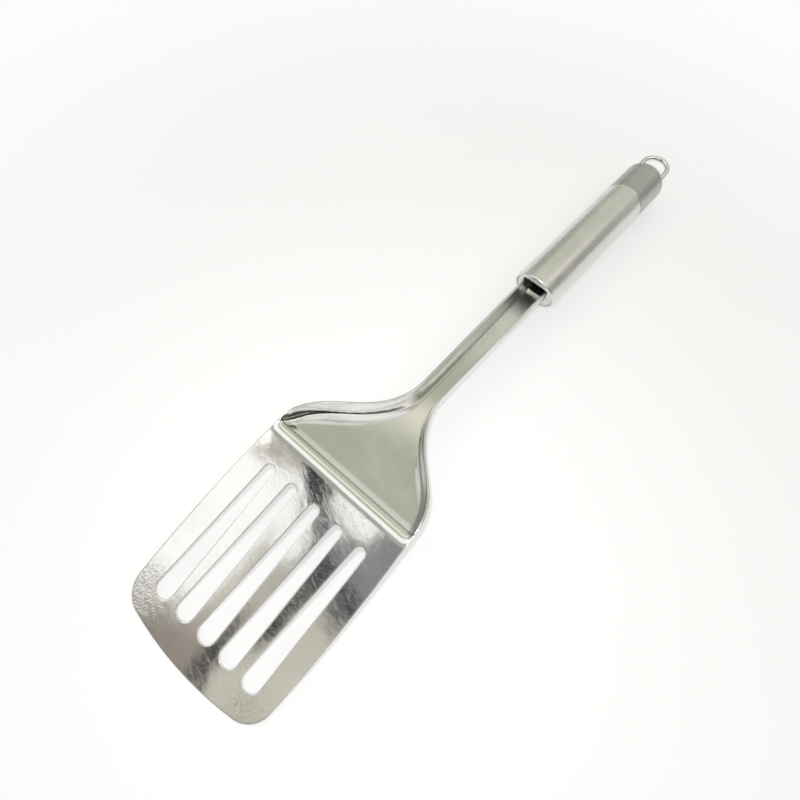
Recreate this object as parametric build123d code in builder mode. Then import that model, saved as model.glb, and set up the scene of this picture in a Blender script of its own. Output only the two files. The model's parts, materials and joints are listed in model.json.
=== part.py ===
from build123d import *
from math import asin, atan, cos, degrees, pi, radians, sin, sqrt, tan
import os

# A slotted kitchen spatula: a five-slot blade, a dished shoulder and a trough-shaped neck pressed
# from one sheet, held in a round hollow handle with a wire loop at its rear end.
# Millimetres, +Z up, +X from the blade to the handle. The tool lies on its blade's front edge and
# on the rear of its handle, and the origin is under the middle of its length, on that surface.

# Sheet and blade
sheet = 1.1                     # thickness of the pressed sheet
blade_length = 91.8             # front edge to the ridge, along the blade
blade_width = 75.3              # across the widest part
blade_angle = 15.9              # degrees that the blade rises from its front edge
widest_from_front = 45.5        # front edge to the widest part, along the blade
side_bow_radius = 684.0         # the gentle outward bow of the blade's sides
front_bow_radius = 157.7        # the gentle curve of the front edge
front_corner_radius = 11.5

# Slots in the blade
slot_count = 5
slot_front_radius = 4.0
slot_back_radius = 2.3
front_band = 12.25              # front edge to the slots
back_band = 13.9                # slots to the ridge
side_band = 9.15                # widest side to the outer slots
slot_edge_round = 0.25

# Plan of the shoulder and the neck: half widths over the outside of the sheet
neck_start = 63.0               # ridge to the start of the neck
neck_length = 74.55             # start of the neck to the handle's front
tail_length = 38.0              # the trough's length inside the handle
shoulder_run = 13.3             # ridge to where the outline turns in
shoulder_half = 35.4
waist_run = 42.7                # ridge to where the outline turns along the neck
waist_half = 5.85
flare_run = 72.0                # ridge to where the neck begins to widen again
mouth_half = 6.7
ridge_turn = 5.0                # half lengths of the outline's rounded turns, along the tool
shoulder_turn = 9.0
waist_turn = 15.0
flare_turn = 12.0

# Side view of the shoulder and the neck: heights of the floor and of the rim over the table
neck_wall_run = 1.7             # how far the neck's side walls lean out
tray_wall_run = 3.4             # how far the shoulder's side walls lean out
wall_sweep = 86.0               # degrees that a side wall turns up from the floor
tray_drop = 3.3                 # the tray's floor under the ridge
step_run = 3.8                  # ridge to the foot of the step down to the tray
peak_run = 4.5                  # ridge to the highest place of the side rims
brow_run = 24.3                 # ridge to where the rim begins to fall towards the neck
brow_rim = 24.8
hip_run = 41.0                  # ridge to where the floor's fall turns into the neck
hip_floor = 10.3
hip_rim_run = 38.5              # ridge to where the rim's fall turns into the neck
hip_rim = 20.1
back_run = 72.0                 # ridge to the neck's middle
back_floor = 9.9
back_rim = 21.0
rim_over_axis = 5.2             # rim of the trough above the handle's centre line
neck_depth = 9.6                # inside depth of the trough at the handle
ridge_round = 4.3               # half lengths of the rounded turns, along the tool
step_round = 1.4
peak_round = 4.0
brow_round = 8.0
hip_round = 28.0
hip_rim_round = 10.0
back_round = 25.0
mouth_round = 8.0
lip_run = 9.0                   # along the tool, for the blade's edge to turn up into a rim
flat_before_ridge = 6.0         # flat stretch of the blade that belongs to the pressed part
slope_step = 0.01               # small step along the tool for reading a slope

# Patches of the pressed part along the tool, from the blade to the tail, zone by zone
patch_counts = [2, 9, 12, 8, 4, 2]

# Handle
handle_radius = 11.5
handle_wall = 1.1
handle_slope = 1.75             # degrees that the handle falls towards its rear
handle_length = 116.5           # middle of the slanted front to the rear cap's end
mouth_slant = 16.0              # degrees that the front leans, its top towards the blade
rear_cap_length = 29.5
rear_round = 4.2                # round between the rear cap's side and its end
rear_dome = 1.8                 # bulge of the rear cap's end
seam_bevel = 0.25
tube_end_round = 0.8            # outer edge of the tube's front
bore_edge_round = 0.25          # inner edge of the tube's front

# Front cap
cap_wall = 0.9
cap_edge_round = 0.8
cap_skirt_length = 8.0
arch_gap = 0.3                  # clearance round the neck in the cap's arched opening
arch_top = 7.4                  # top of the opening above the centre line, at its middle
arch_bulge = 0.6
arch_corner_round = 0.8

# Strip and welds in the handle's mouth
strip_thickness = 1.5
strip_length = 58.0
strip_set_back = 1.8            # the strip's front edge behind the middle of the handle's front
strip_edge_inset = 0.05         # the strip's sides inside the flat of the trough's floor
strip_edge_round = 0.3
strip_fit = 0.1                 # clearance round the strip's tail in the tail disc
plug_radius = 2.0
plug_crown = 0.5
plug_first = 12.0               # the strip's front edge to the first plug
plug_pitch = 16.0
plug_count = 2
bead_radius = 1.4
bead_height = 3.2
bead_drop = 1.8                 # the trough's rim to the top of the beads

# Disc, sleeve and plate inside the handle
press_gap = 0.03                # radial clearance of the pressed-in pieces
seat_gap = 0.02                 # clearance under pieces that are welded down
tail_disc_thickness = 1.5
tail_disc_set_back = 50.0       # the handle's front to the tail disc
sleeve_length = 16.0
sleeve_wall = 0.8
loop_plate_thickness = 1.6
loop_plate_depth = 12.0         # the plate's rear in front of the rear cap's end

# Hanging loop
wire_radius = 1.4
loop_radius = 7.15              # to the wire's centre line
loop_tilt = 10.0                # degrees that the loop is bent up from the handle's line
loop_rise = 3.9                 # the loop over the centre line, at the rear cap's end
loop_reach = 5.6                # the rear cap's end to the centre of the loop's bend
leg_length = 16.0               # of the loop's legs inside the rear cap
leg_gap = 0.05                  # clearance round the legs in their holes
leg_head_radius = 2.1
leg_head_thickness = 0.9

overrun = 3.0                   # cuts run this far past what they cut

# Places worked out from the sizes above
rise = radians(blade_angle)
fall = radians(handle_slope)
slant = radians(mouth_slant)
sweep = radians(wall_sweep)
lift = radians(loop_tilt)
ridge_run = blade_length * cos(rise)
blade_half = blade_width / 2
cap_run = ridge_run + neck_start + neck_length
dome_radius = (handle_radius**2 + rear_dome**2) / (2 * rear_dome)
rear_edge_rise = sqrt((dome_radius - rear_round) ** 2 - (handle_radius - rear_round) ** 2)
rear_edge = handle_length - dome_radius + rear_edge_rise
axis_height = handle_radius * cos(fall) + rear_edge * sin(fall)
loop_end = handle_length * cos(fall) + loop_rise * sin(fall) + (loop_reach + loop_radius) * cos(lift - fall)
toe = sheet * sin(rise)
overall_length = toe + cap_run + loop_end + wire_radius
front_x = toe - overall_length / 2
ridge_x = front_x + ridge_run
neck_x = ridge_x + neck_start
cap_x = front_x + cap_run
tail_x = cap_x + tail_length
bore_radius = handle_radius - handle_wall
press_radius = bore_radius - press_gap
seam_place = handle_length - rear_cap_length
slant_reach = handle_radius * tan(slant)
slot_pitch = 2 * (blade_half - side_band - slot_front_radius) / (slot_count - 1)

rise_dir = (cos(rise), 0, sin(rise))
axis_dir = (cos(fall), 0, -sin(fall))
blade_plane = Plane(origin=(front_x, 0, 0), x_dir=rise_dir, z_dir=(-sin(rise), 0, cos(rise)))
handle_plane = Plane(origin=(cap_x, 0, axis_height), x_dir=(0, 1, 0), z_dir=axis_dir)
mouth_dir = (cos(slant - fall), 0, sin(slant - fall))
mouth_plane = Plane(origin=(cap_x, 0, axis_height), x_dir=(0, 1, 0), z_dir=mouth_dir)
turning_plane = Plane(origin=(cap_x, 0, axis_height), x_dir=axis_dir, z_dir=(0, -1, 0))
handle_axis = Axis((cap_x, 0, axis_height), axis_dir)

cap_rim = axis_height + rim_over_axis
ridge_top = ridge_run * tan(rise) + sheet / cos(rise)
peak_top = ridge_top + peak_run * tan(rise)
tail_fall = (tail_length + mouth_round) * tan(fall)

# The sides of the blade bow gently and end in a short straight stretch towards the ridge
bow_end = blade_length - 2 * flat_before_ridge
bow_half_run = bow_end - widest_from_front
bow_fall = sqrt(side_bow_radius**2 - bow_half_run**2)
side_slope = -bow_half_run / bow_fall
bow_end_half = blade_half - side_bow_radius + bow_fall
ridge_half = bow_end_half + side_slope * 2 * flat_before_ridge

# Corners of the outline: place, half width and rounding
outline_corners = [
    (ridge_x, ridge_half, ridge_turn),
    (ridge_x + shoulder_run, shoulder_half, shoulder_turn),
    (ridge_x + waist_run, waist_half, waist_turn),
    (ridge_x + flare_run, waist_half, flare_turn),
    (cap_x, mouth_half, mouth_round),
    (tail_x + mouth_round, mouth_half, 0),
]

# Corners of the side view: place, height and rounding of the floor line and of the rim line
floor_corners = [
    (ridge_x, ridge_top, ridge_round),
    (ridge_x + step_run, ridge_top - tray_drop, step_round),
    (ridge_x + hip_run, hip_floor, hip_round),
    (ridge_x + back_run, back_floor, back_round),
    (cap_x, cap_rim - neck_depth, mouth_round),
    (tail_x + mouth_round, cap_rim - neck_depth - tail_fall, 0),
]
rim_corners = [
    (ridge_x + peak_run, peak_top, peak_round),
    (ridge_x + brow_run, brow_rim, brow_round),
    (ridge_x + hip_rim_run, hip_rim, hip_rim_round),
    (ridge_x + back_run, back_rim, back_round),
    (cap_x, cap_rim, mouth_round),
    (tail_x + mouth_round, cap_rim - tail_fall, 0),
]


def ease(share):
    """A smooth step from 0 to 1 as share goes from 0 to 1."""
    held = min(max(share, 0), 1)
    return held**3 * (10 - 15 * held + 6 * held**2)


def bent_line(x, slope, corners):
    """Level of a line of straight runs with rounded corners, which starts at the given slope."""
    level = corners[0][1] + slope * (x - corners[0][0])
    for here, after in zip(corners, corners[1:]):
        place, height, rounding = here
        turn = (after[1] - height) / (after[0] - place) - slope
        past = x - place
        if past >= rounding:
            level += turn * past
        elif past > -rounding:
            level += turn * (past + rounding) ** 2 / (4 * rounding)
        slope += turn
    return level


def lip(x):
    """How far the edge has turned from the blade's square edge, 0, into an upright rim, 1."""
    return ease((x - ridge_x) / lip_run)


def rim_half_width(x):
    """Half width between the inner sides of the rims: blade, shoulder, neck and tail."""
    return bent_line(x, side_slope / cos(rise), outline_corners) - sheet * lip(x)


def wall_run(x):
    """How far a side wall leans out over its height."""
    return tray_wall_run + (neck_wall_run - tray_wall_run) * ease((x - ridge_x) / neck_start)


def sheet_point(x, out, up, across, depth):
    """A point of the pressed sheet, on its upper skin at depth 0 and on its lower skin at depth 1.

    On a side wall out and up go from 0 to 1, from the floor's edge to the rim. On the floor they
    are 0. The shares across go from -1 to 1, from one side of the tool to the other.
    """
    floor = bent_line(x, tan(rise), floor_corners)
    slope = (bent_line(x + slope_step, tan(rise), floor_corners) - floor) / slope_step
    under = sheet * depth * (1 - up * lip(x))
    height = floor + (bent_line(x, tan(rise), rim_corners) - floor) * up - under * cos(atan(slope))
    flat = rim_half_width(x) - wall_run(x)
    half = flat + (wall_run(x) + sheet * depth * lip(x)) * out
    return Vector(x + under * sin(atan(slope)), half * across, height)


# Control shares of a side wall, an elliptic turn from the floor up to the rim
bend = 4 / 3 * tan(sweep / 4)
wall_shares = [
    (0, 0),
    (bend / sin(sweep), 0),
    (1 - bend / tan(sweep), 1 - bend * sin(sweep) / (1 - cos(sweep))),
    (1, 1),
]


def along(start, end, out, up, across, depth):
    """Control points of one line of the sheet between two rows."""
    points = [sheet_point(x, out, up, across, depth) for x in (start, end)]
    ahead = [sheet_point(x + slope_step, out, up, across, depth) for x in (start, end)]
    tangents = [(far - near) / slope_step for near, far in zip(points, ahead)]
    third = (end - start) / 3
    return [points[0], points[0] + tangents[0] * third, points[1] - tangents[1] * third, points[1]]


join_x = ridge_x - flat_before_ridge * cos(rise)
zone_ends = [
    join_x, ridge_x - ridge_round, ridge_x + step_run + step_round, neck_x,
    cap_x - mouth_round, cap_x + mouth_round, tail_x,
]
row_places = [join_x]
for low, high, patches in zip(zone_ends, zone_ends[1:], patch_counts):
    row_places += [low + (high - low) * (row + 1) / patches for row in range(patches)]

quilt = []
ends = {0: [], 1: []}
for start, end in zip(row_places, row_places[1:]):
    rims = {-1: [], 1: []}
    for depth in (0, 1):
        floor = [along(start, end, 0, 0, across, depth) for across in (-1, 1)]
        patches = [floor]
        for across in (-1, 1):
            wall = [along(start, end, out, up, across, depth) for out, up in wall_shares]
            patches.append(wall)
            rims[across].append(wall[-1])
        quilt += patches
        if start == join_x:
            ends[0].append([[line[0] for line in patch] for patch in patches])
        if end == row_places[-1]:
            ends[1].append([[line[-1] for line in patch] for patch in patches])
    quilt += rims.values()
for upper, lower in ends.values():
    quilt += [[top, bottom] for top, bottom in zip(upper, lower)]
pressed = Solid(Shell([Face.make_bezier_surface(patch) for patch in quilt]))

# Blade, shoulder and neck: one pressed sheet
join_length = blade_length - flat_before_ridge + sheet * tan(rise)
join_half = bow_end_half + side_slope * (join_length - bow_end)
bow = front_bow_radius - sqrt(front_bow_radius**2 - blade_half**2)
side_start_half = blade_half - side_bow_radius + sqrt(side_bow_radius**2 - (widest_from_front - bow) ** 2)
slot_front = front_band + slot_front_radius
slot_back = blade_length - back_band - slot_back_radius
with BuildPart() as blade_head:
    with BuildSketch(blade_plane) as blade_outline:
        with BuildLine() as blade_line:
            ThreePointArc((bow, -side_start_half), (0, 0), (bow, side_start_half))
            ThreePointArc((bow, side_start_half), (widest_from_front, blade_half), (bow_end, bow_end_half))
            Line((bow_end, bow_end_half), (join_length, join_half))
            Line((join_length, join_half), (join_length, -join_half))
            Line((join_length, -join_half), (bow_end, -bow_end_half))
            ThreePointArc(
                (bow_end, -bow_end_half), (widest_from_front, -blade_half), (bow, -side_start_half)
            )
        make_face()
        fillet(blade_outline.vertices().sort_by(Axis.X)[:2], front_corner_radius)
    extrude(amount=sheet)
    for place in range(slot_count):
        across = (place - (slot_count - 1) / 2) * slot_pitch
        with BuildSketch(blade_plane):
            with Locations((slot_front, across)):
                Circle(slot_front_radius)
            with Locations((slot_back, across)):
                Circle(slot_back_radius)
            make_hull()
        extrude(amount=sheet, mode=Mode.SUBTRACT)
    flats = blade_head.faces().filter_by(blade_plane)
    slot_edges = [edge for face in flats for wire in face.inner_wires() for edge in wire.edges()]
    fillet(slot_edges, slot_edge_round)
    add(pressed)

blade_head.part.label = "blade_head"

# Flat bar that lies in the trough inside the handle and reaches the tail disc
floor_level = (rim_over_axis - neck_depth) * cos(fall) + seat_gap
trough_half = mouth_half - sheet
strip_half = trough_half - neck_wall_run - strip_edge_inset
strip_top = floor_level + strip_thickness
plug_places = [strip_set_back + plug_first + plug_pitch * place for place in range(plug_count)]
strip_plane = handle_plane.offset(strip_set_back)
floor_plane = Plane(
    origin=handle_plane.from_local_coords((0, floor_level, 0)), x_dir=axis_dir, z_dir=handle_plane.y_dir
)
with BuildPart() as tang_strip:
    with BuildSketch(strip_plane):
        with BuildLine():
            Polyline(
                (-strip_half, floor_level), (strip_half, floor_level),
                (strip_half, strip_top), (-strip_half, strip_top), close=True,
            )
        make_face()
    extrude(amount=strip_length)
    fillet(tang_strip.edges().filter_by(handle_axis), strip_edge_round)
    with BuildSketch(floor_plane):
        with Locations(*[(place, 0) for place in plug_places]):
            Circle(plug_radius)
    extrude(amount=strip_thickness, mode=Mode.SUBTRACT)
tang_strip.part.label = "tang_strip"

# Weld plugs that fill the strip's holes and stand a little proud of it
with BuildPart() as plug_welds:
    with BuildSketch(floor_plane):
        with Locations(*[(place, 0) for place in plug_places]):
            Circle(plug_radius - press_gap)
    extrude(amount=strip_thickness + plug_crown)
    crowns = plug_welds.edges().group_by(Axis(handle_plane.origin, handle_plane.y_dir))[-1]
    fillet(crowns, plug_crown)
plug_welds.part.label = "plug_welds"

# Pressed cap in the handle's slanted front: a face with an arched opening, and a skirt
floor_turn = (trough_half - neck_wall_run, (rim_over_axis - neck_depth) * cos(fall) - sheet - arch_gap)
turn_across = (neck_wall_run + sheet) / sin(sweep) + arch_gap
turn_up = (neck_depth + sheet) / (1 - cos(sweep)) + arch_gap
with BuildPart() as front_cap:
    with BuildSketch(handle_plane.offset(-slant_reach - overrun)):
        Circle(press_radius)
    extrude(amount=2 * slant_reach + overrun + cap_skirt_length)
    split(bisect_by=mouth_plane, keep=Keep.TOP)
    cap_front = front_cap.faces().sort_by(handle_axis)[0]
    fillet(cap_front.edges(), cap_edge_round)
    offset(amount=-cap_wall, openings=front_cap.faces().sort_by(handle_axis)[-1])
    with BuildSketch(handle_plane) as opening:
        with BuildLine():
            centre = (floor_turn[0], floor_turn[1] + turn_up)
            right = EllipticalCenterArc(centre, turn_across, turn_up, -90, arc_size=wall_sweep)
            mirror(right, about=Plane.YZ)
            Line(right @ 0, (-floor_turn[0], floor_turn[1]))
            corner = ((right @ 1).X, arch_top - arch_bulge)
            Line(right @ 1, corner)
            Line((-corner[0], (right @ 1).Y), (-corner[0], corner[1]))
            ThreePointArc(corner, (0, arch_top), (-corner[0], corner[1]))
        make_face()
        fillet(opening.vertices().sort_by(Axis.Y)[-2:], arch_corner_round)
    extrude(amount=slant_reach + overrun, both=True, mode=Mode.SUBTRACT)
front_cap.part.label = "front_cap"

# Tack beads that hold the neck's walls to the back of the cap's face
neck_outside = mouth_half + seat_gap
bead_low = rim_over_axis / cos(slant) - bead_drop - bead_height
bead_plane = Plane(
    origin=mouth_plane.from_local_coords((0, bead_low, cap_wall + seat_gap)),
    x_dir=mouth_plane.x_dir, z_dir=mouth_plane.y_dir,
)
with BuildPart() as cap_welds:
    with BuildSketch(bead_plane):
        with Locations((neck_outside, 0), (-neck_outside, 0)):
            Circle(bead_radius)
        Rectangle(2 * neck_outside, 2 * bead_radius, mode=Mode.SUBTRACT)
        Rectangle(
            2 * (neck_outside + bead_radius), bead_radius,
            align=(Align.CENTER, Align.MIN), mode=Mode.SUBTRACT,
        )
    extrude(amount=bead_height)
cap_welds.part.label = "cap_welds"

# Handle tube, from the slanted front to the seam
with BuildPart() as handle_tube:
    with BuildSketch(handle_plane.offset(-slant_reach - overrun)):
        Circle(handle_radius)
        Circle(bore_radius, mode=Mode.SUBTRACT)
    extrude(amount=slant_reach + overrun + seam_place)
    split(bisect_by=mouth_plane, keep=Keep.TOP)
    front_edges = handle_tube.faces().sort_by(handle_axis)[0].edges().sort_by(SortBy.LENGTH)
    fillet(front_edges[-1], tube_end_round)
    fillet(front_edges[0], bore_edge_round)
    rear_edges = handle_tube.edges().group_by(handle_axis)[-1].sort_by(SortBy.RADIUS)
    chamfer(rear_edges[-1], seam_bevel)
handle_tube.part.label = "handle_tube"

# Disc pressed into the tube, with a slot for the strip's tail
with BuildPart() as tail_disc:
    with BuildSketch(handle_plane.offset(tail_disc_set_back)):
        Circle(press_radius)
        with Locations((0, floor_level + strip_thickness / 2)):
            Rectangle(2 * (strip_half + strip_fit), strip_thickness + 2 * strip_fit, mode=Mode.SUBTRACT)
    extrude(amount=tail_disc_thickness)
tail_disc.part.label = "tail_disc"

# Sleeve inside the seam between the tube and the rear cap
with BuildPart() as joint_sleeve:
    with BuildSketch(handle_plane.offset(seam_place - sleeve_length / 2)):
        Circle(press_radius)
        Circle(press_radius - sleeve_wall, mode=Mode.SUBTRACT)
    extrude(amount=sleeve_length)
joint_sleeve.part.label = "joint_sleeve"

# Deep-drawn rear cap with a rounded, slightly domed end and two holes for the loop's legs
leg_hole_radius = wire_radius + leg_gap
leg_places = [(-loop_radius, 0), (loop_radius, 0)]
loop_dir = (cos(lift - fall), 0, sin(lift - fall))
loop_plane = Plane(
    origin=handle_plane.from_local_coords((0, loop_rise, handle_length)), x_dir=(0, 1, 0), z_dir=loop_dir
)
dome_sweep = degrees(asin(handle_radius / dome_radius))
dome_centre = handle_length - dome_radius
with BuildPart() as rear_cap:
    with BuildSketch(turning_plane) as cup_section:
        with BuildLine():
            dome = CenterArc((dome_centre, 0), dome_radius, 0, dome_sweep)
            Polyline(dome @ 1, (seam_place, handle_radius), (seam_place, 0), dome @ 0)
        make_face()
        fillet(cup_section.vertices().group_by(Axis.Y)[-1].sort_by(Axis.X)[-1], rear_round)
    revolve(axis=handle_axis)
    offset(amount=-handle_wall, openings=rear_cap.faces().sort_by(handle_axis)[0])
    mouth_edges = rear_cap.edges().group_by(handle_axis)[0]
    chamfer(mouth_edges.sort_by(SortBy.RADIUS)[-1], seam_bevel)
    with BuildSketch(loop_plane.offset(-leg_length)):
        with Locations(*leg_places):
            Circle(leg_hole_radius)
    extrude(amount=leg_length + overrun, mode=Mode.SUBTRACT)
rear_cap.part.label = "rear_cap"

# Plate inside the rear cap that the loop's legs pass through
plate_front = handle_length - loop_plate_depth - loop_plate_thickness
with BuildPart() as loop_plate:
    with BuildSketch(handle_plane.offset(plate_front)):
        Circle(press_radius)
    extrude(amount=loop_plate_thickness)
    with BuildSketch(loop_plane):
        with Locations(*leg_places):
            Circle(leg_hole_radius)
    extrude(amount=-leg_length - overrun, mode=Mode.SUBTRACT)
loop_plate.part.label = "loop_plate"

# Wire loop with two legs, headed over in front of the plate
head_depth = (handle_length - plate_front) / cos(lift) + leg_head_radius * tan(lift) + seat_gap
bend_axis = Axis(loop_plane.from_local_coords((0, 0, loop_reach)), loop_plane.y_dir)
with BuildPart() as hanging_loop:
    with BuildSketch(loop_plane.offset(-head_depth)):
        with Locations(*leg_places):
            Circle(wire_radius)
    extrude(amount=loop_reach + head_depth)
    with BuildSketch(loop_plane.offset(loop_reach)):
        with Locations(leg_places[0]):
            Circle(wire_radius)
    revolve(axis=bend_axis, revolution_arc=180)
    with BuildSketch(loop_plane.offset(-head_depth)):
        with Locations(*leg_places):
            Circle(leg_head_radius)
    extrude(amount=-leg_head_thickness)
hanging_loop.part.label = "hanging_loop"

os.makedirs("parts", exist_ok=True)
export_step(blade_head.part, "parts/blade_head.step")
export_step(tang_strip.part, "parts/tang_strip.step")
export_step(plug_welds.part, "parts/plug_welds.step")
export_step(front_cap.part, "parts/front_cap.step")
export_step(cap_welds.part, "parts/cap_welds.step")
export_step(handle_tube.part, "parts/handle_tube.step")
export_step(tail_disc.part, "parts/tail_disc.step")
export_step(joint_sleeve.part, "parts/joint_sleeve.step")
export_step(rear_cap.part, "parts/rear_cap.step")
export_step(loop_plate.part, "parts/loop_plate.step")
export_step(hanging_loop.part, "parts/hanging_loop.step")
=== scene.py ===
# %% [markdown]
# A slotted steel spatula lies on a white table. The construction is finished and comes in as a
# fixed model: every node has its real size and place, in metres, and nothing here moves it. What is
# left is the looks: the finish of each piece of steel, the table, the light and the camera. Polished
# steel has almost no colour of its own, so most of this lesson is about what it mirrors.

# %% Load the finished construction
import bpy
import json
from math import radians
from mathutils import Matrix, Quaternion, Vector


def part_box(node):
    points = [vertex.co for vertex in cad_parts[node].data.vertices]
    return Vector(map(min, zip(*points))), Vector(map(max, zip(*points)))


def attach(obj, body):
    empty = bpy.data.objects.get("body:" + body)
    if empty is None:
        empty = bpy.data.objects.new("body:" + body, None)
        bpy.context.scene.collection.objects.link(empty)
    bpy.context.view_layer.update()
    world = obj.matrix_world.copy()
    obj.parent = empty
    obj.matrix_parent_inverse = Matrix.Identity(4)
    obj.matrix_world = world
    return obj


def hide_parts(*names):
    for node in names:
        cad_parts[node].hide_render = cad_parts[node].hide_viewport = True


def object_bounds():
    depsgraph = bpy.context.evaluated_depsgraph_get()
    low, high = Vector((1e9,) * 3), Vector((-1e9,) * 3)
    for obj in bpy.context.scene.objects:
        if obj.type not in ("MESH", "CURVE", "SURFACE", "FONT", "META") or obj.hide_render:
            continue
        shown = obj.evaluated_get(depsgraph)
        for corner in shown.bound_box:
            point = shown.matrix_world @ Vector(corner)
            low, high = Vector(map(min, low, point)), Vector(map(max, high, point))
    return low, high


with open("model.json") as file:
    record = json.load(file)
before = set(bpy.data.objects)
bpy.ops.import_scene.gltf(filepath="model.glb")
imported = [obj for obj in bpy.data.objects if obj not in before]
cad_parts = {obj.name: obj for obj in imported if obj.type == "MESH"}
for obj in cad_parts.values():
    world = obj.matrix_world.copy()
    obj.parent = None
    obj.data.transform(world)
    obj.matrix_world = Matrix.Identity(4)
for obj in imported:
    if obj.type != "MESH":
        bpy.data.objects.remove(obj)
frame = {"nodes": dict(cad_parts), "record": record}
cad_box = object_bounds()
low, high = Vector(cad_box[0]), Vector(cad_box[1])
print("nodes:", sorted(frame["nodes"]))
print("model box:", [round(side, 4) for side in high - low])

# %% [markdown]
# The camera stands at the photograph's place, a quarter of a metre over the table and a little to
# the blade's side, so the blade is larger in the picture than the handle. Its place and the point
# that it looks at are measured from the middle of the blade's front edge, which is the one place of
# the tool that lies flat on the table. A place, a point to look at and a small roll are easier to
# read than a matrix.

# %% Camera at the photograph's place
front_edge = Vector((low.x, 0, 0))
camera_place = front_edge + Vector((0.04071, -0.05819, 0.23655))
camera_aim = front_edge + Vector((0.14095, 0.01342, 0.0))
camera_roll = radians(6.344)
camera_data = bpy.data.cameras.new("photo_camera")
camera_data.lens = 25.397
camera_data.sensor_width = 36.0
camera_data.clip_start = 0.01
camera = bpy.data.objects.new("photo_camera", camera_data)
bpy.context.scene.collection.objects.link(camera)
straight_look = (camera_aim - camera_place).to_track_quat("-Z", "Y")
camera.rotation_mode = "QUATERNION"
camera.rotation_quaternion = straight_look @ Quaternion((0, 0, 1), camera_roll)
camera.location = camera_place
bpy.context.scene.camera = camera
print("camera is", round((camera_aim - camera_place).length, 3), "m from the point it looks at")

# %% [markdown]
# The materials are node trees, and many of them need the same few steps, so small helpers keep them
# short. The first ones add a node and fill its inputs, make a noise that is stretched along chosen
# directions, turn a value into a soft step between 0 and 1, and do arithmetic. The others lay
# colours over each other, turn a height into a bump and find the sharp edges. All of them work on
# Object coordinates, which are metres here, so a scale of 1000 gives details about a millimetre apart.


# %% Helpers that make and join nodes
def add_node(tree, kind, inputs=None, **settings):
    """Add a node, set its properties, and link or fill its inputs by name or number."""
    node = tree.nodes.new(kind)
    for name, value in settings.items():
        setattr(node, name, value)
    for name, value in (inputs or {}).items():
        if isinstance(value, bpy.types.NodeSocket):
            tree.links.new(value, node.inputs[name])
        else:
            node.inputs[name].default_value = value
    return node


def noise(tree, place, scale, detail=3.0, turn=0.0, shift=0.0, roughness=0.5):
    """A noise of 0 to 1, with its own scale along each axis, turned about Z by some degrees."""
    turned = add_node(
        tree, "ShaderNodeVectorRotate", {"Vector": place, "Angle": radians(turn)}, rotation_type="Z_AXIS"
    )
    sized = add_node(
        tree, "ShaderNodeMapping",
        {"Vector": turned.outputs[0], "Scale": scale, "Location": (shift, shift, shift)},
    )
    return add_node(
        tree, "ShaderNodeTexNoise",
        {"Vector": sized.outputs[0], "Scale": 1.0, "Detail": detail, "Roughness": roughness},
    ).outputs["Fac"]


def between(tree, value, start, end, low_value=0.0, high_value=1.0):
    """A soft step from low_value at start to high_value at end."""
    return add_node(
        tree, "ShaderNodeMapRange",
        {"Value": value, "From Min": start, "From Max": end, "To Min": low_value, "To Max": high_value},
        interpolation_type="SMOOTHSTEP",
    ).outputs[0]


def combined(tree, operation, *values):
    """The values joined by one kind of arithmetic, from the first to the last."""
    result = values[0]
    for value in values[1:]:
        result = add_node(tree, "ShaderNodeMath", {0: result, 1: value}, operation=operation).outputs[0]
    return result


def inside(tree, value, start, end, edge):
    """1 while the value is from start to end, with soft edges."""
    rising = between(tree, value, start - edge, start + edge)
    return combined(tree, "MULTIPLY", rising, between(tree, value, end + edge, end - edge))


# %% Helpers for colours, bumps and edges
def mixed(tree, factor, first, second):
    """A mix of two colours."""
    node = add_node(tree, "ShaderNodeMix", data_type="RGBA")
    for socket, value in zip((node.inputs[0], node.inputs[6], node.inputs[7]), (factor, first, second)):
        if isinstance(value, bpy.types.NodeSocket):
            tree.links.new(value, socket)
        else:
            socket.default_value = value
    return node.outputs[2]


def layered(tree, base, *layers):
    """The base with each layer's colour over it, where that layer's share says so."""
    for share, colour in layers:
        base = mixed(tree, share, base, colour)
    return base


def bumped(tree, height, distance, strength=1.0, before=None):
    """A bump from a height of 0 to 1 that is distance metres deep."""
    inputs = {"Height": height, "Distance": distance, "Strength": strength}
    if before is not None:
        inputs["Normal"] = before
    return add_node(tree, "ShaderNodeBump", inputs).outputs[0]


def worn_edge(tree, radius):
    """1 along the sharp edges of a piece and 0 on its faces."""
    rounded = add_node(tree, "ShaderNodeBevel", {"Radius": radius}, samples=6)
    flat = add_node(tree, "ShaderNodeNewGeometry")
    likeness = add_node(
        tree, "ShaderNodeVectorMath", {0: rounded.outputs[0], 1: flat.outputs["Normal"]},
        operation="DOT_PRODUCT",
    ).outputs["Value"]
    return between(tree, likeness, 0.99, 0.85)


def new_material(name):
    """An empty metal: its tree, its shader and the Object coordinates."""
    material = bpy.data.materials.new(name)
    material.use_nodes = True
    tree = material.node_tree
    shader = tree.nodes["Principled BSDF"]
    shader.inputs["Metallic"].default_value = 1.0
    place = add_node(tree, "ShaderNodeTexCoord").outputs["Object"]
    return material, tree, shader, place


def wire(tree, shader, **outputs):
    """Link outputs to the shader's inputs of the same name, written with underscores."""
    for name, output in outputs.items():
        tree.links.new(output, shader.inputs[name.replace("_", " ")])


# %% [markdown]
# Some places on the tool decide where a finish changes. The ridge between the blade and the shoulder
# is one of them. It comes from the model's own boxes, as a share of the way from the blade's front
# edge to the handle, so the looks follow the construction if it changes.

# %% Places on the tool
handle_low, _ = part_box("handle_tube")
ridge_share = 0.3965
ridge_x = low.x + ridge_share * (handle_low[0] - low.x)
print("ridge is", round(ridge_x - low.x, 4), "m behind the front edge")

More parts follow.
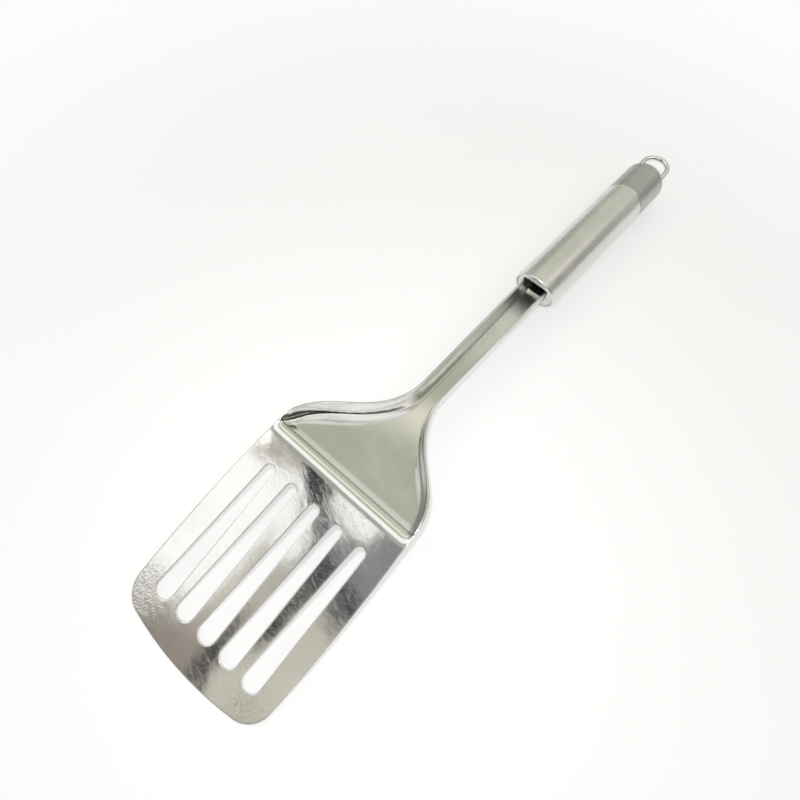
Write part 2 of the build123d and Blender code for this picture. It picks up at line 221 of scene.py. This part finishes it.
# %% [markdown]
# The blade, shoulder and neck are one stamping of cold-rolled sheet, polished on a wheel afterwards.
# The photograph shows three layers of detail on it. The sheet is not quite flat, so its mirror image breaks
# into cloudy patches. The wheel leaves short fine marks across the blade. Near the front corners the surface
# has a coarse grain like orange peel, where the sheet was least pressed. The slot rims and the cut edges are
# burnished bright. Along the ridge the colour holds a painted highlight, with a painted line of shade just
# behind it.
# Inside the trough, near the handle, the wheel hardly reached, so the sheet is duller. Each layer is
# a noise with its own scale, and together they set the roughness, the colour and the bump.


# %% Polished steel of the stamping
def polished_steel():
    """Cloudy mirror with cross marks, front-corner grain, bright edges, and a painted highlight and shade
    line at the ridge.
    """
    material, tree, shader, place = new_material("polished_steel")
    along, across, _ = add_node(tree, "ShaderNodeSeparateXYZ", {0: place}).outputs
    side = add_node(tree, "ShaderNodeMath", {0: across}, operation="ABSOLUTE").outputs[0]
    on_blade = between(tree, along, ridge_x + 0.001, ridge_x - 0.004)
    near_front = between(tree, along, low.x + 0.034, low.x + 0.004)
    near_side = between(tree, side, 0.016, 0.032)
    near_mouth = between(tree, along, ridge_x + 0.075, ridge_x + 0.115)
    # A painted highlight along the ridge, and a painted line of shade just behind it.
    painted_ridge_highlight = inside(tree, along, ridge_x - 0.0012, ridge_x + 0.0006, 0.0006)
    painted_shade_line = inside(tree, along, ridge_x + 0.0015, ridge_x + 0.0021, 0.0005)
    edges = worn_edge(tree, 0.0005)

    clouds = noise(tree, place, (45, 28, 45), detail=4.0, turn=20)
    marks = noise(tree, place, (520, 2600, 900), detail=4.0, turn=74)
    scuffs = noise(tree, place, (90, 1900, 700), detail=2.0, turn=115, shift=3.0)
    grain = noise(tree, place, (620, 620, 620), detail=3.0, roughness=0.7, shift=7.0)
    few_scuffs = between(tree, scuffs, 0.62, 0.74)
    grain_place = combined(tree, "MULTIPLY", near_front, near_side, on_blade)

    clouded = mixed(
        tree, between(tree, clouds, 0.38, 0.62), (0.73, 0.725, 0.70, 1), (0.80, 0.795, 0.775, 1)
    )
    colour = layered(
        tree, clouded,
        # The painted ridge highlight, then the painted shade line behind it.
        (painted_ridge_highlight, (0.95, 0.95, 0.94, 1)),
        (painted_shade_line, (0.24, 0.24, 0.235, 1)),
        (combined(tree, "MULTIPLY", few_scuffs, 0.35), (0.88, 0.87, 0.85, 1)),
        (combined(tree, "MULTIPLY", edges, 0.7), (0.86, 0.86, 0.84, 1)),
    )
    dullness = combined(
        tree, "ADD",
        between(tree, clouds, 0.35, 0.65, 0.05, 0.09),
        between(tree, on_blade, 0.0, 1.0, 0.05, 0.0),
        combined(tree, "MULTIPLY", between(tree, marks, 0.45, 0.7), 0.04),
        combined(tree, "MULTIPLY", grain_place, 0.08),
        combined(tree, "MULTIPLY", near_mouth, 0.2),
        combined(tree, "MULTIPLY", edges, 0.2),
        combined(tree, "MULTIPLY", few_scuffs, 0.07),
    )
    softened = add_node(tree, "ShaderNodeBevel", {"Radius": 0.0008}, samples=6).outputs[0]
    waved = bumped(tree, combined(tree, "MULTIPLY", clouds, on_blade), 0.00025, 0.5, softened)
    crossed = bumped(tree, marks, 0.00001, 0.25, waved)
    scuffed = bumped(tree, few_scuffs, 0.00001, 0.20, crossed)
    pitted = bumped(tree, combined(tree, "MULTIPLY", grain, grain_place), 0.00025, 0.4, scuffed)
    wire(tree, shader, Base_Color=colour, Roughness=dullness, Normal=pitted)
    return material


# %% [markdown]
# The handle's tube is brushed along its length, and the rear cap is brushed round its axis on a lathe, which
# is why the photograph shows them with different sheens although both are the same steel. Their base colours
# are set apart as well, the tube's lighter and the cap's darker than that one steel: painted light on the
# tube and painted shade on the cap. A brushed surface is a field of hairlines. A noise that is long along one
# direction and very
# fine across it makes them, and where the hairlines go round the axis the noise is read from the
# place along the handle. On the tube, some hairlines join into broader warm streaks.


# %% Brushed steel of the handle
def brushed_steel(name, lines, streaks, base, streak_colour, dullness, depth):
    """Hairlines of one scale and direction, broader streaks, faint blotches and bright edges."""
    material, tree, shader, place = new_material(name)
    hair = noise(tree, place, lines, detail=5.0, roughness=0.65)
    streak = noise(tree, place, streaks, detail=3.0, shift=2.0)
    blotches = noise(tree, place, (70, 110, 110), detail=3.0, shift=5.0)
    colour = layered(
        tree, base,
        (between(tree, streak, 0.45, 0.72), streak_colour),
        (between(tree, hair, 0.35, 0.75, 0.0, 0.35), (0.78, 0.775, 0.76, 1)),
        (combined(tree, "MULTIPLY", worn_edge(tree, 0.0004), 0.6), (0.86, 0.86, 0.85, 1)),
    )
    dull = combined(
        tree, "ADD",
        between(tree, hair, 0.3, 0.7, dullness, dullness + 0.12),
        between(tree, blotches, 0.4, 0.65, -0.03, 0.05),
    )
    uneven = bumped(tree, blotches, 0.0004, 0.12)
    brushed = bumped(tree, hair, depth, 0.5, uneven)
    wire(tree, shader, Base_Color=colour, Roughness=dull, Normal=brushed)
    return material


# %% [markdown]
# The remaining finishes are simpler. The front cap is pressed from thin sheet and left nearly bright.
# The strip in the trough is plain rolled sheet with lengthwise mill lines. The weld plugs and beads
# are dull with a faint straw tint from the heat. The loop's wire is drawn through a die, so it is the
# brightest piece and its scratches run along it.


# %% Plain, welded and drawn steel
def plain_steel(name, base, spots, scale, dullness, depth, shift):
    """A bright or dull sheet finish: two tints, uneven dullness, a little relief, worn edges."""
    material, tree, shader, place = new_material(name)
    fine = noise(tree, place, scale, detail=4.0, roughness=0.6, shift=shift)
    wide = noise(tree, place, (160, 160, 160), detail=3.0, shift=shift + 1.0)
    colour = layered(
        tree, base,
        (between(tree, wide, 0.4, 0.65), spots),
        (combined(tree, "MULTIPLY", worn_edge(tree, 0.0003), 0.6), (0.84, 0.84, 0.82, 1)),
    )
    dull = between(tree, fine, 0.35, 0.7, dullness, dullness + 0.14)
    uneven = bumped(tree, wide, 0.0003, 0.2)
    relief = bumped(tree, fine, depth, 0.4, uneven)
    wire(tree, shader, Base_Color=colour, Roughness=dull, Normal=relief)
    return material


# %% [markdown]
# Each slot of the construction now gets its finish. The scale says how many details there are to a
# metre along each axis, the dullness is the roughness at the smoothest places, the depth is in
# metres, and the shift moves a noise so that no two finishes share one pattern.

# %% Finishes, one for each slot
finishes = {
    "polished_steel": polished_steel(),
    # The tube's base colour is painted light, lighter than the one steel that tube and cap share.
    "brushed_tube": brushed_steel(
        "brushed_tube", lines=(40, 5200, 5200), streaks=(9, 380, 380),
        base=(0.74, 0.74, 0.72, 1), streak_colour=(0.83, 0.80, 0.75, 1), dullness=0.24, depth=0.00002,
    ),
    # The cap's base colour is painted shade, darker than the same steel as the tube.
    "satin_cap": brushed_steel(
        "satin_cap", lines=(4200, 120, 120), streaks=(420, 40, 40),
        base=(0.45, 0.45, 0.44, 1), streak_colour=(0.51, 0.50, 0.485, 1), dullness=0.30, depth=0.00001,
    ),
    "cap_steel": plain_steel(
        "cap_steel", base=(0.64, 0.64, 0.63, 1), spots=(0.72, 0.72, 0.71, 1),
        scale=(900, 900, 900), dullness=0.16, depth=0.00002, shift=0.0,
    ),
    "rolled_steel": plain_steel(
        "rolled_steel", base=(0.52, 0.51, 0.47, 1), spots=(0.62, 0.60, 0.55, 1),
        scale=(60, 2600, 2600), dullness=0.2, depth=0.00002, shift=4.0,
    ),
    "weld_metal": plain_steel(
        "weld_metal", base=(0.45, 0.42, 0.37, 1), spots=(0.55, 0.50, 0.40, 1),
        scale=(1400, 1400, 1400), dullness=0.32, depth=0.00008, shift=8.0,
    ),
    "bright_wire": plain_steel(
        "bright_wire", base=(0.70, 0.695, 0.68, 1), spots=(0.78, 0.775, 0.76, 1),
        scale=(300, 2400, 2400), dullness=0.1, depth=0.00001, shift=6.0,
    ),
}
print("finishes:", sorted(finishes))

# %% [markdown]
# Each node of the construction knows which slot it takes its finish from. A node comes in as a mesh
# whose faces meet along split edges, so a mirror finish would show every facet. A copy with its
# corners joined and its faces shaded smooth, except across the sharp edges, reflects as one surface.
# The sheet's flat parts are a few long faces beside many small ones, and a plain average of their
# directions would bend the mirror image there, so the large faces are given more weight. The copy
# stands for the node, and it keeps every corner's place.

# %% Smooth copies of the nodes, with their finishes
merge_distance = 0.000002
sharp_angle = radians(28.0)


def smooth_copy(node, slot):
    """A copy of a node with joined corners and smooth shading, which stands for the node."""
    source = frame["nodes"][node]
    copy = source.copy()
    copy.data = source.data.copy()
    copy.name = node + "_smooth"
    bpy.context.scene.collection.objects.link(copy)
    bpy.ops.object.select_all(action="DESELECT")
    copy.select_set(True)
    bpy.context.view_layer.objects.active = copy
    bpy.ops.object.mode_set(mode="EDIT")
    bpy.ops.mesh.select_all(action="SELECT")
    bpy.ops.mesh.remove_doubles(threshold=merge_distance)
    bpy.ops.object.mode_set(mode="OBJECT")
    bpy.ops.mesh.customdata_custom_splitnormals_clear()
    bpy.ops.object.shade_smooth_by_angle(angle=sharp_angle)
    weigh = copy.modifiers.new("large_faces_lead", "WEIGHTED_NORMAL")
    weigh.mode = "FACE_AREA"
    weigh.keep_sharp = True
    bpy.ops.object.modifier_apply(modifier=weigh.name)
    copy.data.materials.clear()
    copy.data.materials.append(finishes[slot])
    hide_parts(node)
    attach(copy, "root")
    return copy


for row in frame["record"]["subparts"]:
    dressed = smooth_copy(row["node"], row["material_slot"])
    print(row["node"], "wears", row["material_slot"], "on", len(dressed.data.polygons), "faces")

# %% [markdown]
# The table is a sheet of white laminate. It has to look white, yet still show the soft shadow to the
# tool's lower right. More light would bleach the steel too, so the paint itself helps: for the camera
# and for mirror reflections, a share of it glows at exactly white, and the rest takes the light and
# the shadow as any paint does. The share grows away from the tool, where there is no shadow to keep.

# %% Table
bpy.ops.object.select_all(action="DESELECT")
bpy.ops.mesh.primitive_plane_add(size=6.0, location=(0, 0, 0))
table = bpy.context.object
table.name = "table"
table_paint, paint, paint_shader, table_place = new_material("table_paint")
paint_shader.inputs["Metallic"].default_value = 0.0
table_tint = mixed(
    paint, noise(paint, table_place, (30, 30, 30)), (0.93, 0.93, 0.93, 1), (0.95, 0.95, 0.945, 1)
)
table_dullness = between(paint, noise(paint, table_place, (200, 200, 200)), 0.3, 0.7, 0.5, 0.65)
wire(paint, paint_shader, Base_Color=table_tint, Roughness=table_dullness)

path = add_node(paint, "ShaderNodeLightPath").outputs
seen_at_all = combined(
    paint, "MAXIMUM", path["Is Camera Ray"], path["Is Glossy Ray"], path["Is Transmission Ray"]
)
away = add_node(paint, "ShaderNodeVectorMath", {0: table_place}, operation="LENGTH").outputs["Value"]
glow_share = combined(paint, "MULTIPLY", seen_at_all, between(paint, away, 0.12, 0.40, 0.5, 0.9))
white_glow = add_node(paint, "ShaderNodeEmission", {"Color": (1, 1, 1, 1), "Strength": 1.0})
table_look = add_node(
    paint, "ShaderNodeMixShader", {0: glow_share, 1: paint_shader.outputs[0], 2: white_glow.outputs[0]}
)
paint.links.new(table_look.outputs[0], paint.nodes["Material Output"].inputs["Surface"])
table.data.materials.append(table_paint)
print("table is", round(table.dimensions.x, 2), "m wide")

# %% [markdown]
# Steel shows the room, and the photograph's reflections tell what the room was like. A bright
# ceiling gives the long highlights. A few dark shapes overhead give the dark patches on the blade.
# The wall low on the right of the tool was dark, which is the black band on the far wall of the
# shoulder, and a beige wall behind the handle tints the tray and the neck. The world below is that
# room, painted by direction: x points along the handle, y to the picture's upper left and z up. Each
# part of the room is a soft step along one of them, and the dark shapes are fat lines overhead.


# %% Lines overhead, by direction
def near_line(tree, spot, start, end, width):
    """1 near the line from start to end, seen from above, with a soft edge."""
    start, end = Vector((*start, 0)), Vector((*end, 0))
    offset = add_node(tree, "ShaderNodeVectorMath", {0: spot, 1: start}, operation="SUBTRACT").outputs[0]
    unit = (end - start) / (end - start).length_squared
    share = add_node(
        tree, "ShaderNodeVectorMath", {0: offset, 1: unit}, operation="DOT_PRODUCT"
    ).outputs["Value"]
    held = add_node(tree, "ShaderNodeClamp", {0: share}).outputs[0]
    nearest = add_node(
        tree, "ShaderNodeVectorMath", {0: end - start, "Scale": held}, operation="SCALE"
    ).outputs[0]
    distance = add_node(
        tree, "ShaderNodeVectorMath", {0: offset, 1: nearest}, operation="DISTANCE"
    ).outputs["Value"]
    return between(tree, distance, width * 1.3, width * 0.75)


# %% [markdown]
# The steps read the direction of each reflected ray. Over the blade they read a direction that a
# slow noise has bent a little, because a hand-held sheet never mirrors a straight edge as straight.

# %% Directions in the room
world = bpy.data.worlds.new("room")
bpy.context.scene.world = world
world.use_nodes = True
room = world.node_tree
direction = add_node(room, "ShaderNodeTexCoord").outputs["Generated"]
ripple = add_node(room, "ShaderNodeTexNoise", {"Vector": direction, "Scale": 9.0, "Detail": 3.0}).outputs[1]
centred = add_node(room, "ShaderNodeVectorMath", {0: ripple, 1: (0.5, 0.5, 0.5)}, operation="SUBTRACT")
bend = 0.05
warp = add_node(room, "ShaderNodeVectorMath", {0: centred.outputs[0], "Scale": bend}, operation="SCALE")
warped = add_node(
    room, "ShaderNodeVectorMath", {0: direction, 1: warp.outputs[0]}, operation="ADD"
).outputs[0]
forth, aside, up = add_node(room, "ShaderNodeSeparateXYZ", {0: direction}).outputs
warped_forth, warped_aside, _ = add_node(room, "ShaderNodeSeparateXYZ", {0: warped}).outputs
flat_spot = add_node(
    room, "ShaderNodeVectorMath", {0: warped, 1: (1, 1, 0)}, operation="MULTIPLY"
).outputs[0]
print("directions are bent by up to", bend / 2)

# %% [markdown]
# The colours of the room come next. White is a little over 1, as a lit ceiling is, and everything
# else is darker than the table.

# %% Colours of the room
white = (1.25, 1.25, 1.23, 1)
beige = (0.53, 0.55, 0.45, 1)
cream = (0.98, 0.95, 0.82, 1)
pale_beige = (0.84, 0.83, 0.76, 1)
warm_grey = (0.50, 0.50, 0.47, 1)
blue_black = (0.015, 0.018, 0.028, 1)
low_grey = (0.22, 0.22, 0.21, 1)
side_grey = (0.42, 0.415, 0.385, 1)
print("white is", white[0], "and the darkest shape", blue_black[0])

# %% [markdown]
# Over the blade the room has the most parts. A right and a left tint lie under everything, each with
# a change of colour towards the front. Three bright shapes and four dark lines lie over them.

# %% Parts of the room that the blade mirrors
right_tint = mixed(
    room, between(room, warped_forth, -0.47, -0.52), (0.30, 0.31, 0.31, 1), (0.72, 0.69, 0.61, 1)
)
left_tint = mixed(
    room, between(room, warped_forth, -0.57, -0.62), (0.60, 0.57, 0.50, 1), (0.36, 0.32, 0.28, 1)
)
blade_tint = mixed(room, between(room, warped_aside, 0.195, 0.215), right_tint, left_tint)
left_white = combined(
    room, "MULTIPLY", inside(room, warped_forth, -0.59, -0.35, 0.012), between(room, warped_aside, 0.28, 0.30)
)
ridge_white = combined(
    room, "MULTIPLY",
    inside(room, warped_forth, -0.385, -0.325, 0.01), inside(room, warped_aside, 0.14, 0.26, 0.012),
)
white_lobe = near_line(room, flat_spot, (-0.385, 0.29), (-0.44, 0.245), 0.026)
bright_shapes = combined(room, "MAXIMUM", left_white, ridge_white, white_lobe)
dark_lines = (
    ((-0.325, 0.315), (-0.42, 0.20), 0.017),
    ((-0.435, 0.185), (-0.565, 0.176), 0.016),
    ((-0.435, 0.18), (-0.468, 0.09), 0.016),
    ((-0.66, 0.20), (-0.57, 0.226), 0.013),
)
dark_shapes = combined(room, "MAXIMUM", *(near_line(room, flat_spot, *line) for line in dark_lines))
print("dark lines over the blade:", len(dark_lines))

# %% [markdown]
# The walls are simpler. The tray and neck mirror the beige one behind the handle with its one warm
# glow. The right wall is nearly black low down, with a pale part and a grey strip above.

# %% Walls and ceiling
glow_place = inside(room, forth, 0.56, 0.66, 0.06)
ceiling = combined(room, "MULTIPLY", inside(room, forth, -0.06, 0.36, 0.05), between(room, up, 0.45, 0.6))
low_front = combined(room, "MULTIPLY", between(room, forth, -0.66, -0.76), between(room, up, 0.68, 0.6))
left_side = combined(room, "MULTIPLY", between(room, aside, 0.42, 0.6), between(room, up, 0.75, 0.55))
right_low = layered(
    room, (0.02, 0.02, 0.02, 1),
    (between(room, forth, 0.1, 0.4), (0.17, 0.155, 0.10, 1)),
    (between(room, forth, 0.56, 0.72), (0.42, 0.42, 0.38, 1)),
)
right_high = mixed(room, inside(room, up, 0.71, 0.745, 0.01), white, (0.35, 0.35, 0.34, 1))
right_wall = mixed(room, between(room, up, 0.50, 0.58), right_low, right_high)

look = layered(
    room, beige,
    (glow_place, cream),
    (between(room, forth, 0.74, 0.95), pale_beige),
    (ceiling, white),
    (between(room, forth, -0.04, -0.09), warm_grey),
    (between(room, warped_forth, -0.30, -0.335), blade_tint),
    (bright_shapes, white),
    (dark_shapes, blue_black),
    (low_front, low_grey),
    (between(room, aside, -0.28, -0.45), right_wall),
    (left_side, side_grey),
)
for_camera = add_node(room, "ShaderNodeLightPath").outputs["Is Camera Ray"]
seen = mixed(room, for_camera, look, (1, 1, 1, 1))
background = room.nodes["Background"]
room.links.new(seen, background.inputs["Color"])
background.inputs["Strength"].default_value = 1.0
print("the room takes", len(room.nodes), "nodes")

# %% [markdown]
# Two lamps finish the light. A wide soft one stands to the upper left and gives the shadow its
# direction. A small one sits next to the camera. It gives the thin, crisp shadow line along the
# tool's lower right sides, whose width grows with the height over the table.


# %% Lamps
def lamp(name, place, aim, size, power, colour):
    """A square area lamp that faces a point."""
    data = bpy.data.lights.new(name, "AREA")
    data.size = size
    data.energy = power
    data.color = colour
    holder = bpy.data.objects.new(name, data)
    holder.location = place
    holder.rotation_euler = (Vector(aim) - Vector(place)).to_track_quat("-Z", "Y").to_euler()
    bpy.context.scene.collection.objects.link(holder)
    print(name, "gives", power, "W from", round((Vector(aim) - Vector(place)).length, 2), "m")


beside_lens = camera_place + Vector((0.009, 0.019, 0.0))
lamp("soft_lamp", (-0.5, 1.4, 1.6), (0, 0, 0), size=1.0, power=3.5, colour=(1.0, 0.99, 0.97))
lamp("camera_lamp", beside_lens, camera_aim, size=0.008, power=0.26, colour=(1, 1, 1))

# %% [markdown]
# Last, the colours are shown as they are written.

# %% Colours as written
bpy.context.scene.view_settings.view_transform = "Standard"
